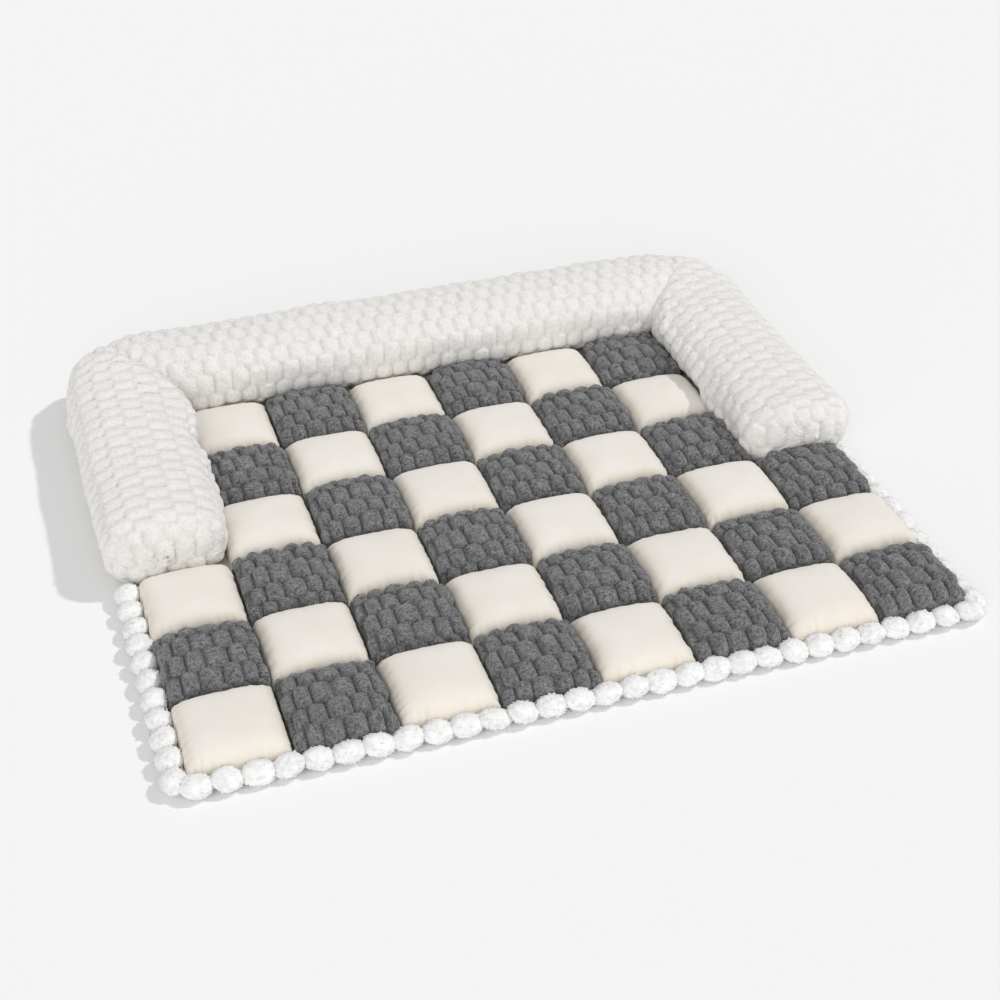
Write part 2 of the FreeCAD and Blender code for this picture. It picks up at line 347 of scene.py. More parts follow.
def wovenMaterial(name, colour, threads, strength=0.4):
    material, nodes, links, shader = nodeMaterial(name, 0.9)
    place = objectCoordinates(nodes, links)
    waves = []
    for direction in ("X", "Y"):
        wave = nodes.new("ShaderNodeTexWave")
        wave.bands_direction = direction
        wave.inputs["Scale"].default_value = threads
        wave.inputs["Distortion"].default_value = 0.6
        links.new(place, wave.inputs["Vector"])
        waves.append(wave.outputs["Fac"])
    weave = nodes.new("ShaderNodeMath")
    weave.operation = "MAXIMUM"
    links.new(waves[0], weave.inputs[0])
    links.new(waves[1], weave.inputs[1])
    shade = rampNode(nodes, links, weave.outputs["Value"],
                     [(0.0, tuple(0.82 * c for c in colour)), (1.0, colour)])
    links.new(shade, shader.inputs["Base Color"])
    links.new(bumpNode(nodes, links, weave.outputs["Value"], strength, 0.0003), shader.inputs["Normal"])
    shader.inputs["Specular IOR Level"].default_value = 0.2
    return material


def rubberMaterial():
    material, nodes, links, shader = nodeMaterial("gripRubber", 0.7)
    place = objectCoordinates(nodes, links)
    cloud = noiseNode(nodes, links, place, 300.0, 2.0)
    colour = rampNode(nodes, links, cloud, [(0.3, (0.60, 0.60, 0.58)), (0.7, (0.68, 0.68, 0.66))])
    links.new(colour, shader.inputs["Base Color"])
    links.new(bumpNode(nodes, links, cloud, 0.2, 0.0003), shader.inputs["Normal"])
    return material


def enamelMaterial():
    material, nodes, links, shader = nodeMaterial("zipEnamel", 0.32)
    place = objectCoordinates(nodes, links)
    cloud = noiseNode(nodes, links, place, 400.0, 3.0)
    colour = rampNode(nodes, links, cloud, [(0.35, (0.80, 0.79, 0.76)), (0.65, (0.86, 0.85, 0.82))])
    links.new(colour, shader.inputs["Base Color"])
    links.new(bumpNode(nodes, links, cloud, 0.1, 0.0002), shader.inputs["Normal"])
    return material


finish = {
    "velvet": velvetMaterial(),
    # the first colour of each plush is painted shade for the pits between its bubbles
    "greyPlush": plushMaterial("greyBubblePlush", (0.085, 0.085, 0.09), (0.225, 0.225, 0.235),
                               (0.32, 0.32, 0.33), 0.30, 1.0),
    "whitePlush": plushMaterial("whiteBubblePlush", (0.79, 0.735, 0.685), (0.855, 0.835, 0.805),
                                (0.88, 0.865, 0.835), 0.93, 0.6),
    "yarn": yarnMaterial(),
    "backing": wovenMaterial("nonslipCloth", (0.70, 0.69, 0.66), 700.0),
    "lining": wovenMaterial("liningCloth", (0.74, 0.70, 0.64), 900.0),
    "rubber": rubberMaterial(),
    "tape": wovenMaterial("wovenTape", (0.80, 0.79, 0.76), 900.0),
    "enamel": enamelMaterial(),
}
print("materials ready")


# puffs

puff = {
    "segments": {"cream": 40, "grey": 32},     # cloth squares along a side
    "pressure": 30.0,
    "slack": {"cream": 0.11, "grey": 0.13},    # how much larger the cloth is than its seam
    "firstRise": 14 * mm,    # of the cloth before it is stuffed
    "firstLump": 4 * mm,
    "mostMove": 32 * mm,
    "calming": 4,            # rounds of smoothing, so only the broad puckers stay
    "calm": 0.65,            # how much one round smooths
    "evenness": {"cream": 0.88, "grey": 0.82},    # how near the cloth is to an even pillow
    "shoulder": 8,           # of the even pillow: higher has steeper sides
    "planSwell": 0.80,       # lower crowds the cloth towards the seams
    "crownDrop": 0.18,       # how much lower the pillow is towards its sides
    "fullness": (0.84, 0.93),    # share of the CAD height
    "brim": 0.22,            # share of the velvet along its seams that is painted warmer and darker, as shade
    "pucker": 1.6 * mm,      # of the fine gathers along a seam
    "puckerPitch": 6 * mm,
    "puckerReach": 10 * mm,
    "pile": 0.42 * mm,
    "frames": 24,
    "seamHeight": 2.5 * mm,  # seam above the lining
    "variants": 4,           # of each cloth
    "bubbleAcross": 18.8 * mm,
    "bubbleAlong": 24.0 * mm,
    "bubbleRise": 9.5 * mm,
    "bubbleMiddle": 0.55,    # the height of a bubble that leaves the cloth where it is
    "overCloth": 1.06,       # cloth over the crown, to each length of the square
    "neighbourGap": 0.15 * mm,
    "liningGap": 0.3 * mm,
}


def stuffedSquare(cloth, seed):
    # a square of cloth, sewn down along its edge and stuffed from below
    n = puff["segments"][cloth] + 1
    half = (cell - seamGap) / 2
    u, v = np.meshgrid(np.linspace(-1, 1, n), np.linspace(-1, 1, n))
    flat = np.stack([u.ravel(), v.ravel(), np.full(n * n, seed * 3.7)], -1)
    lump = softNoise(flat, 0.6, seed).reshape(n, n)
    crown = (1 - u ** 4) * (1 - v ** 4)
    points = np.stack([u * half, v * half, crown * (puff["firstRise"] + puff["firstLump"] * lump)], -1)
    pinned = np.maximum(np.abs(u), np.abs(v)) > 0.999
    shape = inflate(points, pinned, puff["pressure"], puff["slack"][cloth], puff["frames"],
                    puff["mostMove"])
    shape = calmed(shape, puff["calming"], puff["evenness"][cloth])
    print("stuffed", cloth, "square", seed, "height", round(float(shape[..., 2].max()) / mm, 1))
    return shape


def calmed(shape, rounds, evenness):
    # smooth the cloth, keeping its seam, and draw it towards an even pillow with steep sides
    for _ in range(rounds):
        inner = (shape[:-2, 1:-1] + shape[2:, 1:-1] + shape[1:-1, :-2] + shape[1:-1, 2:]) / 4
        shape = shape.copy()
        shape[1:-1, 1:-1] = (1 - puff["calm"]) * shape[1:-1, 1:-1] + puff["calm"] * inner
    n = shape.shape[0]
    half = (cell - seamGap) / 2
    u, v = np.meshgrid(np.linspace(-1, 1, n), np.linspace(-1, 1, n))
    tall = shape[..., 2].max()
    sides = (1 - np.abs(u) ** puff["shoulder"]) * (1 - np.abs(v) ** puff["shoulder"])
    crown = sides ** 0.5 * (1 - puff["crownDrop"] * (u ** 2 + v ** 2))
    pillow = np.stack([np.sign(u) * np.abs(u) ** puff["planSwell"] * half,
                       np.sign(v) * np.abs(v) ** puff["planSwell"] * half, crown * tall], -1)
    return shape + (pillow - shape) * evenness


def turned(grid, quarter, mirrored):
    # the same puff turned by quarter turns or mirrored, still in rows from the front
    shape = grid[:, ::-1] * np.array([-1.0, 1.0, 1.0]) if mirrored else grid
    for _ in range(quarter):
        shape = np.swapaxes(shape, 0, 1)[:, ::-1]
        shape = np.stack([-shape[..., 1], shape[..., 0], shape[..., 2]], -1)
    return shape


def buildPuff(node, grid, cream, seed):
    low, high = nodeBox(node)
    seam = baseTop + puff["seamHeight"]
    chance = random.Random(seed)
    shape = grid.copy()
    shape[..., 2] *= (high.z - seam) * chance.uniform(*puff["fullness"]) / shape[..., 2].max()
    for _ in range(1 if cream else 2):
        shape = np.swapaxes(refine(np.swapaxes(refine(shape), 0, 1)), 0, 1)
    n = shape.shape[0]
    u, v = np.meshgrid(np.linspace(0, 1, n), np.linspace(0, 1, n))
    brim = np.minimum(np.minimum(u, 1 - u), np.minimum(v, 1 - v))
    if cream:
        # the cream puff's bubble attribute fades out the velvet's painted seam shade
        rise = smoothStep(0.0, puff["brim"], brim)
        lift = np.zeros((n, n))
        for side, (along, away) in enumerate(((u, v), (u, 1 - v), (v, u), (v, 1 - u))):
            gathers = np.array([noise.noise(Vector((t * cell / puff["puckerPitch"], seed * 3.1, side * 7.7)))
                                for t in np.linspace(0, 1, n)])
            gathers = gathers[None, :] if side < 2 else gathers[:, None]
            fade = np.exp(-(away * cell / puff["puckerReach"]) ** 2)
            lift += gathers * fade * smoothStep(0, 0.03, away)
        lift *= puff["pucker"]
    else:
        length = cell * puff["overCloth"]
        across = u * length / puff["bubbleAcross"] + chance.random() * 2
        along = v * length / puff["bubbleAlong"] + chance.random() * 2
        rise = plushBubbles(across, along, seed)
        lift = (rise - puff["bubbleMiddle"]) * smoothStep(0.0, 0.05, brim) * puff["bubbleRise"]
        lift += pile((n, n), puff["pile"], seed)
    shape = shape + gridNormals(shape) * lift[..., None]
    limit = cell / 2 - puff["neighbourGap"]
    shape[..., :2] = np.clip(shape[..., :2], -limit, limit)
    shape[..., 2] = np.maximum(shape[..., 2], -puff["seamHeight"] + puff["liningGap"])
    shape = shape + np.array([(low.x + high.x) / 2, (low.y + high.y) / 2, seam])
    bm = gridMesh(shape, False, rise)
    rim = [edge for edge in bm.edges if edge.is_boundary]
    for vert in onlyVerts(bmesh.ops.extrude_edge_only(bm, edges=rim)["geom"]):
        vert.co.z = baseTop
    rim = [edge for edge in bm.edges if edge.is_boundary]
    closing = onlyVerts(bmesh.ops.extrude_edge_only(bm, edges=rim)["geom"])
    centre = Vector(((low.x + high.x) / 2, (low.y + high.y) / 2, baseTop))
    bmesh.ops.pointmerge(bm, verts=closing, merge_co=centre)
    bmesh.ops.recalc_face_normals(bm, faces=bm.faces[:])
    name = node.replace("cream_puff", "creamPuff").replace("grey_puff", "greyPuff")
    piece = dressed(name, bm, finish["velvet" if cream else "greyPlush"])
    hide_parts(node, "puff_fills")


def buildPuffs():
    shapes = {cloth: [stuffedSquare(cloth, seed) for seed in range(puff["variants"])]
              for cloth in ("cream", "grey")}
    order = random.Random(11)
    for row in range(rows):
        edge = 0 if row < fullRows else 1
        for column in range(edge, columns - edge):
            cream = (row + column) % 2 == 0
            grid = turned(order.choice(shapes["cream" if cream else "grey"]), order.randrange(4),
                          order.random() < 0.5)
            buildPuff(f"{'cream' if cream else 'grey'}_puff_r{row + 1}_c{column + 1}", grid, cream,
                      row * columns + column)
    print("puffs ready")


buildPuffs()


# bolster

bolster = {
    "girth": 345 * mm,         # sets the points round a section
    "armCloth": 430 * mm,      # sets the rings along an arm, and the next one those of its end
    "endCloth": 86 * mm,
    "space": 8.0 * mm,         # of the cloth before it is refined
    "refines": 2,
    "squareTop": 2.25,         # of the section above and below its middle
    "squareBottom": 3.0,
    "outerInset": 3.0 * mm,    # of the cloth inside the CAD box
    "innerBulge": 7.0 * mm,    # of the cloth over the puffs
    "topInset": 2.5 * mm,
    "bottomInset": 0.3 * mm,
    "liningGap": 0.2 * mm,
    "endDepth": 40 * mm,       # how far the arm's end is rounded
    "endSplit": 0.42,          # share of that depth where the end's own bubbles stop
    "endSquareness": 2.5,
    "cornerRadius": 104 * mm,
    "pressure": 12.0,
    "slack": 0.03,
    "frames": 16,
    "mostMove": 4.0 * mm,
    "heldBelow": 0.93,         # the cloth is held to the lining below this share of its depth
    "bubbleAcross": 20.5 * mm,
    "bubbleAlong": 24.5 * mm,
    "bubbleRise": 5.0 * mm,
    "bubbleMiddle": 0.45,      # the height of a bubble that leaves the cloth where it is
    "pile": 0.25 * mm,
    "endProud": {"Left": 5.0 * mm, "Right": 13.0 * mm},    # of the plush at the arm's end
    "seamPinch": 4.0 * mm,     # of the seam at the inner corners
    "outerPinch": 0.04,        # share of it that is left outside
    "seamWidth": 22.0 * mm,
    "waviness": 2.6 * mm,
    "waves": ((0.12, 1.0, 0), (0.05, 0.5, 5)),    # size in metres, share and seed of each
    "zipRecess": 7.6 * mm,     # how deep the cover is drawn in behind the zip
    "zipRoom": 14 * mm,        # beyond the zip's end
}
coverHalf = bolsterWidth / 2
armX = bolsterSide - coverHalf
backY = bolsterRear - coverHalf
middle = baseTop + bolsterHeight / 2


def evenSpots(x, y, count, loop):
    # points evenly spaced along a curve
    if loop:
        x, y = np.append(x, x[0]), np.append(y, y[0])
    reach = np.concatenate([[0.0], np.cumsum(np.hypot(np.diff(x), np.diff(y)))])
    goal = np.linspace(0, reach[-1], count, endpoint=not loop)
    return np.interp(goal, reach, x), np.interp(goal, reach, y), reach[-1]


def coverSection(count):
    turn = np.linspace(0, 2 * np.pi, 4000, endpoint=False) - np.pi / 2
    c, s = np.cos(turn), np.sin(turn)
    power = np.where(s > 0, 2.0 / bolster["squareTop"], 2.0 / bolster["squareBottom"])
    reach = np.where(c > 0, coverHalf - bolster["outerInset"], coverHalf + bolster["innerBulge"])
    tall = bolsterHeight / 2 - np.where(s > 0, bolster["topInset"], bolster["bottomInset"])
    return evenSpots(np.sign(c) * np.abs(c) ** power * reach, np.sign(s) * np.abs(s) ** power * tall,
                     count, True)


def endProfile(count):
    turn = np.linspace(0, np.pi / 2, 2000)
    power = 2.0 / bolster["endSquareness"]
    along = bolster["endDepth"] * (1 - np.cos(turn) ** power)
    scale = np.maximum(np.sin(turn) ** power, 2e-5)
    a, b, _ = evenSpots(along, scale * coverHalf, count, False)
    return a, np.maximum(b / coverHalf, 2e-5)


def limbCloth(start, finishAt, capped):
    # the cloth of a limb before it is stuffed, and the length of cloth round its section
    count = 4 * int(round(bolster["girth"] / bolster["space"] / 4))
    sectionAcross, sectionUp, girth = coverSection(count)
    if capped:
        capAlong, capScale = endProfile(int(bolster["endCloth"] / bolster["space"]))
        tube = int(bolster["armCloth"] / bolster["space"])
        fraction = np.concatenate([np.zeros(len(capAlong) - 1), np.linspace(0, 1, tube)])
        scale = np.concatenate([capScale[:-1], np.ones(tube)])
        begin = np.concatenate([capAlong[:-1], np.full(tube, bolster["endDepth"])])[:, None]
    else:
        tube = int(2 * bolsterSide / bolster["space"])
        fraction, scale, begin = np.linspace(0, 1, tube), np.ones(tube), start(sectionAcross)[None, :]
    across, up = sectionAcross[None, :] * scale[:, None], sectionUp[None, :] * scale[:, None]
    along = begin + (finishAt(across) - begin) * fraction[:, None]
    return np.stack([across, along, up], -1), girth


def limbNormals(local, ring):
    # the normals of a limb's cloth, made to point outwards at one of its rings
    normals = gridNormals(local, True)
    return -normals if (normals[ring, :, 0] * local[ring, :, 0]).sum() < 0 else normals


def buildLimb(name, seed, start, finishAt, capped, toWorld, nodesReplaced):
    # start and finishAt give the limb's ends for a place across its section
    def seamDistance(across, along):
        return np.minimum(finishAt(across) - along, 1.0 if capped else along - start(across)) * math.sqrt(0.5)

    local, girth = limbCloth(start, finishAt, capped)
    nearSeam = seamDistance(local[..., 0], local[..., 1])
    normals = limbNormals(local, -3)
    held = (local[..., 2] < -bolster["heldBelow"] * local[..., 2].max()) | (nearSeam < 1 * mm)
    wave = np.zeros(nearSeam.shape)
    for size, share, shift in bolster["waves"]:
        bend = softNoise(local.reshape(-1, 3), size, seed + shift).reshape(wave.shape)
        wave += bend * bolster["waviness"] * share
    local = local + normals * (wave * smoothStep(0.0, 60 * mm, nearSeam))[..., None]
    facing = np.cross(np.roll(local, -1, 1) - local, np.roll(local, -1, 0) - local)
    turnedIn = (normals * facing).sum() < 0
    stuffed = inflate(local, held, -bolster["pressure"] if turnedIn else bolster["pressure"],
                      bolster["slack"], bolster["frames"], bolster["mostMove"], True)
    local = local + (stuffed - local) * smoothStep(0.0, 40 * mm, nearSeam)[..., None]
    for _ in range(bolster["refines"]):
        local = refine(local)
        local = np.swapaxes(refine(np.swapaxes(local, 0, 1), True), 0, 1)
    across, along, up = local[..., 0], local[..., 1], local[..., 2]
    rings, count = up.shape
    around = np.arange(count)[None, :] / count * girth * np.ones((rings, 1))
    nearSeam = seamDistance(across, along)
    rise = plushBubbles(plushPath(along, across, finishAt, capped) / bolster["bubbleAcross"] + 30,
                        around / bolster["bubbleAlong"], seed)
    if capped:    # the bubbles of the arm's end have rows of their own
        split = bolster["endDepth"] * bolster["endSplit"]
        end = plushBubbles(across / bolster["bubbleAcross"] + 20,
                           (up - 0.5 * along) / bolster["bubbleAlong"] + 20, seed + 9)
        turn = smoothStep(split + 3 * mm, split - 3 * mm, along)
        rise = end * turn + rise * (1 - turn)
    inside = smoothStep(0.5, -0.9, across / coverHalf)
    pinch = bolster["seamPinch"] * (bolster["outerPinch"] + (1 - bolster["outerPinch"]) * inside)
    lift = (rise - bolster["bubbleMiddle"]) * bolster["bubbleRise"] * smoothStep(-1 * mm, 4 * mm, nearSeam)
    lift -= pinch * (1 - smoothStep(0.0, bolster["seamWidth"], nearSeam)) ** 1.5
    lift += pile(up.shape, bolster["pile"], seed) * smoothStep(0, 3 * mm, nearSeam)
    local = local + limbNormals(local, -9) * lift[..., None]
    across, along, up = local[..., 0], local[..., 1], local[..., 2]
    along[-1] = finishAt(across[-1])
    if not capped:
        along[0] = start(across[0])
    world = np.stack([*toWorld(along, across), middle + up], -1)
    world[..., 2] = np.maximum(world[..., 2], baseTop + bolster["liningGap"])
    roundCorners(world, bolsterSide, bolsterRear, bolster["cornerRadius"])
    if not capped:
        recessZip(world)
    bm = gridMesh(world, True, rise)
    bmesh.ops.remove_doubles(bm, verts=[v for v in bm.verts if v.is_boundary], dist=0.02 * mm)
    closeEnds(bm)
    bmesh.ops.recalc_face_normals(bm, faces=bm.faces[:])
    piece = dressed(name, bm, finish["whitePlush"])
    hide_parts(*nodesReplaced)
    print(name, "faces", len(piece.data.polygons), "top", round(float(world[..., 2].max()) / mm, 1))


def plushPath(along, across, finishAt, capped):
    # distance along the plush, which keeps its pitch where it turns a rear corner
    out = across - coverHalf + bolster["cornerRadius"]
    centre = 0.0 if capped else bolsterSide
    ahead = np.abs(along - centre)
    over = ahead - (finishAt(across) - centre - out)
    turning = (over > 0) & (out > 0)
    path = np.where(turning, ahead - over + out * np.arctan2(over, np.where(out > 0, out, 1.0)), ahead)
    return centre + np.sign(along - centre) * path


def closeEnds(bm):
    # each open end is closed to a point at its own middle
    loops = [edge for edge in bm.edges if edge.is_boundary]
    groups = []
    while loops:
        group, waiting = set(), [loops[0]]
        while waiting:
            edge = waiting.pop()
            if edge in group:
                continue
            group.add(edge)
            waiting += [other for vert in edge.verts for other in vert.link_edges
                        if other.is_boundary and other not in group]
        groups.append(list(group))
        loops = [edge for edge in loops if edge not in group]
    for group in groups:
        for edge in group:
            edge.smooth = False
        verts = onlyVerts(bmesh.ops.extrude_edge_only(bm, edges=group)["geom"])
        centre = sum((vert.co for vert in verts), Vector()) / len(verts)
        bmesh.ops.pointmerge(bm, verts=verts, merge_co=centre)


def roundCorners(world, side, rear, radius):
    # the two rear corners are round seen from above
    dx = np.abs(world[..., 0]) - (side - radius)
    dy = world[..., 1] - (rear - radius)
    corner = (dx > 0) & (dy > 0)
    dx, dy = np.where(corner, dx, 1.0), np.where(corner, dy, 1.0)
    factor = np.maximum(dx, dy) / np.hypot(dx, dy)
    sign = np.sign(world[..., 0])
    world[..., 0] = np.where(corner, sign * (side - radius + dx * factor), world[..., 0])
    world[..., 1] = np.where(corner, rear - radius + dy * factor, world[..., 1])


lowerLow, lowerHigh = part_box("zip_tape_lower")
upperLow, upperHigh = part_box("zip_tape_upper")
zipReach = max(upperHigh[0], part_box("zip_pull")[1][0]) + bolster["zipRoom"]


def recessZip(world):
    # a flat-bottomed slot for the zip in the rear face
    slotMiddle, slotHalf = (lowerLow[2] + upperHigh[2]) / 2, (upperHigh[2] - lowerLow[2]) / 2
    inX = smoothStep(zipReach + 4 * mm, zipReach - 1 * mm, np.abs(world[..., 0]))
    inZ = smoothStep(3 * mm, -1 * mm, np.abs(world[..., 2] - slotMiddle) - slotHalf)
    rear = world[..., 1] > backY
    target = np.minimum(world[..., 1], bolsterRear - bolster["zipRecess"])
    world[..., 1] = np.where(rear, world[..., 1] + (target - world[..., 1]) * inX * inZ, world[..., 1])


def buildBolster():
    for side, name, seed in ((-1, "Left", 3), (1, "Right", 4)):
        armEnd = armFront - bolster["endProud"][name]
        buildLimb("bolster" + name, seed, None, lambda across: backY + across - armEnd, True,
                  lambda along, across: (side * (armX + across), armEnd + along),
                  [f"bolster_cover_{name.lower()}", f"bolster_fill_{name.lower()}"])
    buildLimb("bolsterBack", 5, lambda across: coverHalf - across,
              lambda across: 2 * armX + coverHalf + across, False,
              lambda along, across: (along - bolsterSide, backY + across),
              ["bolster_cover_back", "bolster_fill_back"])


buildBolster()
print("bolster ready")


# pompoms

pompom = {
    "pitch": 28 * mm,
    "width": (1.16, 0.96),     # of the CAD ball, along the row and across it
    "widths": (0.96, 1.05),    # from one ball to the next
    "height": 0.68,
    "heights": (0.94, 1.04),
    "lean": (0.25, 0.2),       # most, in radians
    "lump": 1.0 * mm,
    "tufts": 0.6,              # share of the ball's faces that carry a tuft of yarn
    "tuft": 1.4 * mm,
    "tuftLengths": (0.4, 1.1),
    "tuftBend": 0.5,
    "tuftTip": 0.3,            # width of its tip, to that of its root
    "floorGap": 0.3 * mm,
    "tuck": {"Front": (0, 5 * mm, 0), "Left": (4 * mm, 0, 0), "Right": (-12 * mm, 0, 0)},    # under the puffs
}


def pompomBall(half, chance):
    # a slightly lumpy ball with short tufts of yarn drawn out of its faces
    ball = bmesh.new()
    bmesh.ops.create_icosphere(ball, subdivisions=3, radius=1.0)
    place = Vector((chance.random(), chance.random(), chance.random())) * 50
    leanY, leanX = (chance.uniform(-most, most) for most in pompom["lean"])
    lean = Matrix.Rotation(leanY, 3, "Y") @ Matrix.Rotation(leanX, 3, "X")
    for vert in ball.verts:
        ray = vert.co.normalized()
        lump = (noise.noise(ray * 1.7 + place) + noise.noise(ray * 4.5 + place)) * pompom["lump"]
        vert.co = lean @ Vector([a * b for a, b in zip(ray, half)]) + ray * lump
    tufted = [face for face in ball.faces if chance.random() < pompom["tufts"]]
    for face in bmesh.ops.extrude_discrete_faces(ball, faces=tufted)["faces"]:
        centre = face.calc_center_median()
        bend = Vector([chance.uniform(-1, 1) for _ in range(3)]) * pompom["tuftBend"]
        reach = (centre.normalized() + bend) * pompom["tuft"] * chance.uniform(*pompom["tuftLengths"])
        for vert in face.verts:
            vert.co = centre + (vert.co - centre) * pompom["tuftTip"] + reach
    return ball


def buildPompoms(node, name, seed, tuck):
    low, high = nodeBox(node)
    radius = (high.z - low.z) / 2
    alongX = high.x - low.x > high.y - low.y
    first = low + Vector((radius, radius, radius))
    span = (high.x - low.x if alongX else high.y - low.y) - 2 * radius
    count = int(span / pompom["pitch"] + 0.01) + 1
    step = Vector((span / (count - 1), 0, 0) if alongX else (0, span / (count - 1), 0))
    chance = random.Random(seed)
    mesh = bpy.data.meshes.new(name)
    bm = bmesh.new()
    for index in range(count):
        wide, deep = (radius * share * chance.uniform(*pompom["widths"]) for share in pompom["width"])
        if not alongX:
            wide, deep = deep, wide
        tall = radius * pompom["height"] * chance.uniform(*pompom["heights"])
        ball = pompomBall((wide, deep, tall), chance)
        centre = first + step * index + Vector(tuck)
        centre.z = tall + pompom["floorGap"]
        bmesh.ops.translate(ball, verts=ball.verts[:], vec=centre)
        ball.to_mesh(mesh)
        ball.free()
        bm.from_mesh(mesh)
    bpy.data.meshes.remove(mesh)
    for vert in bm.verts:
        vert.co.z = max(vert.co.z, pompom["floorGap"])
    piece = dressed(name, bm, finish["yarn"])
    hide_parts(node)
    print(name, count, "pompoms")


for number, edge in enumerate(("Front", "Left", "Right"), 1):
    buildPompoms("pompoms_" + edge.lower(), "pompoms" + edge, number, pompom["tuck"][edge])


# base: the lining that carries the puffs, and the non-slip backing

base = {
    "weaveSpace": 6 * mm,
    "ripple": 0.12 * mm,
    "dotSpace": 12 * mm,
    "dotRadius": 1.6 * mm,
    "dotHeight": 0.3 * mm,
    "cornerRadius": 90 * mm,     # of the rear corners, under the bolster
}


def flatCloth(node, name, bottom, material):
    low, high = nodeBox(node)
    size = high - low
    bm = bmesh.new()
    bmesh.ops.create_grid(bm, x_segments=int(size.x / base["weaveSpace"]),
                          y_segments=int(size.y / base["weaveSpace"]), size=0.5)
    bmesh.ops.scale(bm, verts=bm.verts[:], vec=(size.x, size.y, 1))
    bmesh.ops.translate(bm, verts=bm.verts[:], vec=((low.x + high.x) / 2, (low.y + high.y) / 2, bottom))
    trimmed = np.array([vert.co for vert in bm.verts])
    roundCorners(trimmed, high.x, high.y, base["cornerRadius"])
    for vert, place in zip(bm.verts, trimmed):
        vert.co = place
    thick = high.z - bottom - base["ripple"]
    for vert in onlyVerts(bmesh.ops.extrude_face_region(bm, geom=bm.faces[:])["geom"]):
        vert.co.z += thick + base["ripple"] * noise.noise(vert.co * 90)
    bmesh.ops.recalc_face_normals(bm, faces=bm.faces[:])
    piece = dressed(name, bm, material)
    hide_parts(node)
    return piece


def buildBase():
    low, high = nodeBox("nonslip_backing")
    backing = flatCloth("nonslip_backing", "nonslipBacking", low.z + base["dotHeight"], finish["backing"])
    flatCloth("base_lining", "baseLining", high.z, finish["lining"])
    bm = bmesh.new()
    bmesh.ops.create_cone(bm, cap_ends=True, segments=8, radius1=base["dotRadius"] * 0.7,
                          radius2=base["dotRadius"], depth=base["dotHeight"] * 1.2)
    first = Vector((low.x + base["dotSpace"], low.y + base["dotSpace"], low.z + base["dotHeight"] * 0.6))
    bmesh.ops.translate(bm, verts=bm.verts[:], vec=first)
    dots = dressed("gripDots", bm, finish["rubber"], smooth=False)
    for name, length, axis in (("across", high.x - low.x, 0), ("along", high.y - low.y, 1)):    # rows of dots
        row = dots.modifiers.new(name, "ARRAY")
        row.use_relative_offset = False
        row.use_constant_offset = True
        row.constant_offset_displace = [base["dotSpace"] if index == axis else 0 for index in range(3)]
        row.count = int(length / base["dotSpace"]) - 1
    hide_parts("nonslip_backing")
    print("base ready")


buildBase()


# tape that carries the pompoms

tape = {
    "height": 8 * mm,
    "thick": 1.2 * mm,
    "inset": 0.8,     # of its thicknesses, from the outside of the CAD tape
    "space": 5 * mm,
    "wave": 0.5 * mm,
}


def buildTape():
    low, high = nodeBox("pompom_tape")
    path = [Vector((low.x, high.y, 0)), Vector((low.x, low.y, 0)), Vector((high.x, low.y, 0)),
            Vector((high.x, high.y, 0))]
    bm = bmesh.new()
    for start, finishAt in zip(path, path[1:]):
        along = finishAt - start
        inward = Vector((-along.y, along.x, 0)).normalized()
        strip = bmesh.ops.create_grid(bm, x_segments=int(along.length / tape["space"]), y_segments=3,
                                      size=0.5)["verts"]
        for vert in strip:
            spot, rise = vert.co.x + 0.5, vert.co.y + 0.5
            wave = noise.noise(Vector((spot * along.length * 40, rise, -start.x * 7))) * tape["wave"]
            vert.co = start + along * spot + inward * (tape["thick"] * tape["inset"] + wave * 0.5) + \
                Vector((0, 0, low.z + tape["height"] * rise + wave * rise))
    bmesh.ops.remove_doubles(bm, verts=bm.verts[:], dist=0.3 * mm)
    piece = dressed("pompomTape", bm, finish["tape"])
    wall = piece.modifiers.new("wall", "SOLIDIFY")
    wall.thickness, wall.offset = tape["thick"], 0.0
    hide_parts("pompom_tape")
    print("pompom tape ready")


buildTape()


# zip in the rear of the back bolster

zipper = {
    "tooth": (0.9 * mm, 2.2 * mm, 2.2 * mm),
    "toothTip": (0.6, 0.8),     # share of its width and height at its outer face
    "toothRise": 1.4 * mm,      # leaves the slider's post clear
    "toothSpace": 1.6 * mm,
    "stopRoom": 3 * mm,         # without teeth, at each end
    "tapeThick": 0.7 * mm,
    "tapePlace": 0.4,           # share of the CAD tape's depth that is outside the cloth
    "tapeSpace": 4 * mm,
    "ripple": 0.175 * mm,
}


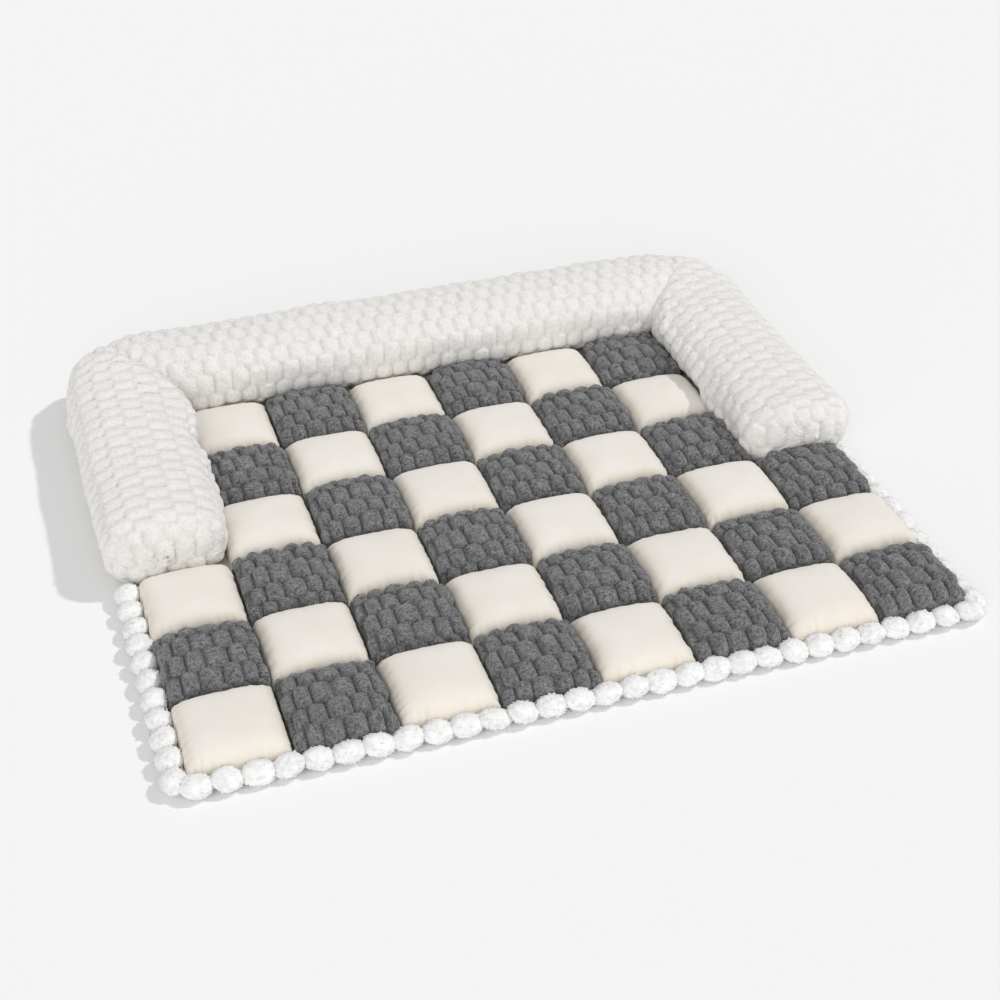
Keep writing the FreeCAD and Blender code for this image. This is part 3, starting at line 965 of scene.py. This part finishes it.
def buildZipTapes():
    for node, name, side in (("zip_tape_lower", "zipTapeLower", -1), ("zip_tape_upper", "zipTapeUpper", 1)):
        low, high = nodeBox(node)
        middleZ = (lowerHigh[2] + upperLow[2]) / 2
        clothY = high.y - (high.y - low.y) * zipper["tapePlace"]
        bm = bmesh.new()
        cloth = bmesh.ops.create_grid(bm, x_segments=int((high.x - low.x) / zipper["tapeSpace"]),
                                      y_segments=10, size=0.5)["verts"]
        for vert in cloth:
            along, up = vert.co.x + 0.5, vert.co.y + 0.5
            x = low.x + (high.x - low.x) * along
            z = low.z + (high.z - low.z) * up
            ripple = noise.noise(Vector((x * 60, z * 90, side))) * zipper["ripple"]
            vert.co = (x, clothY + ripple, z)
        bmesh.ops.solidify(bm, geom=bm.faces[:], thickness=zipper["tapeThick"])
        bmesh.ops.recalc_face_normals(bm, faces=bm.faces[:])
        stopLow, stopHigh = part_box("zip_stops")
        count = int((stopHigh[0] - stopLow[0] - 2 * zipper["stopRoom"]) / zipper["toothSpace"])
        coilY = (low.y + high.y) / 2
        for index in range(count):
            x = stopLow[0] + zipper["stopRoom"] + zipper["toothSpace"] * (index + (0.5 if side > 0 else 0.0))
            tooth = bmesh.ops.create_cube(bm, size=1.0)["verts"]
            bmesh.ops.scale(bm, verts=tooth, vec=zipper["tooth"])
            for vert in tooth:
                if vert.co.y > 0:
                    vert.co.x *= zipper["toothTip"][0]
                    vert.co.z *= zipper["toothTip"][1]
            bmesh.ops.translate(bm, verts=tooth, vec=(x, coilY, middleZ + side * zipper["toothRise"]))
        piece = dressed(name, bm, finish["tape"], smooth=False)
        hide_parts(node)
    print("zip ready")


buildZipTapes()

for node in ("zip_stops", "zip_slider", "zip_pull"):    # the CAD's own pieces
    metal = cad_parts[node]
    metal.data.materials.clear()
    metal.data.materials.append(finish["enamel"])


# stage, light and camera

view = {
    "azimuth": -18.54,
    "elevation": 35.13,
    "distance": 1.91,
    "lens": 62.1,
    "aim": (7 * mm, 331.5 * mm, 5 * mm),     # from the middle of the mat's front edge
}
stage = {
    "floor": (0.89, 0.89, 0.89),
    "floorHalf": 12,
    "ambient": 0.56,
    "key": 1.27,
    "keyAngle": 3.0,
    "keyFrom": (1.0, 0.05, 1.03),
    "fill": 1.60,
    "fillAngle": 70.0,
    "fillFrom": (-0.50, -1.0, 0.36),
}


def buildStage():
    bm = bmesh.new()
    bmesh.ops.create_grid(bm, x_segments=1, y_segments=1, size=stage["floorHalf"])
    mesh = bpy.data.meshes.new("studioFloor")
    bm.to_mesh(mesh)
    bm.free()
    floor = bpy.data.objects.new("studioFloor", mesh)
    scene.collection.objects.link(floor)
    paper = bpy.data.materials.new("studioPaper")
    paper.use_nodes = True
    paperShader = paper.node_tree.nodes["Principled BSDF"]
    paperShader.inputs["Base Color"].default_value = (*stage["floor"], 1)
    paperShader.inputs["Roughness"].default_value = 1.0
    paperShader.inputs["Specular IOR Level"].default_value = 0.0
    mesh.materials.append(paper)
    world = bpy.data.worlds.new("studioLight")
    world.use_nodes = True
    world.node_tree.nodes["Background"].inputs["Color"].default_value = (1, 1, 1, 1)
    world.node_tree.nodes["Background"].inputs["Strength"].default_value = stage["ambient"]
    scene.world = world
    for name in ("key", "fill"):
        sun = bpy.data.lights.new(name + "Light", "SUN")
        sun.energy = stage[name]
        sun.angle = math.radians(stage[name + "Angle"])
        lamp = bpy.data.objects.new(name + "Light", sun)
        scene.collection.objects.link(lamp)
        lamp.rotation_euler = Vector(stage[name + "From"]).to_track_quat("Z", "Y").to_euler()


def buildCamera():
    turn, rise = math.radians(view["azimuth"]), math.radians(view["elevation"])
    ahead = Vector((-math.sin(turn) * math.cos(rise), math.cos(turn) * math.cos(rise), -math.sin(rise)))
    aim = Vector((view["aim"][0], matFront + view["aim"][1], view["aim"][2]))
    lens = bpy.data.cameras.new("camera")
    lens.lens = view["lens"]
    lens.sensor_width = 36.0
    lens.clip_end = 50.0
    camera = bpy.data.objects.new("camera", lens)
    camera.location = aim - ahead * view["distance"]
    camera.rotation_euler = ahead.to_track_quat("-Z", "Y").to_euler()
    scene.collection.objects.link(camera)
    scene.camera = camera


buildStage()
buildCamera()
scene.view_settings.view_transform = "Standard"
print("stage and camera ready")
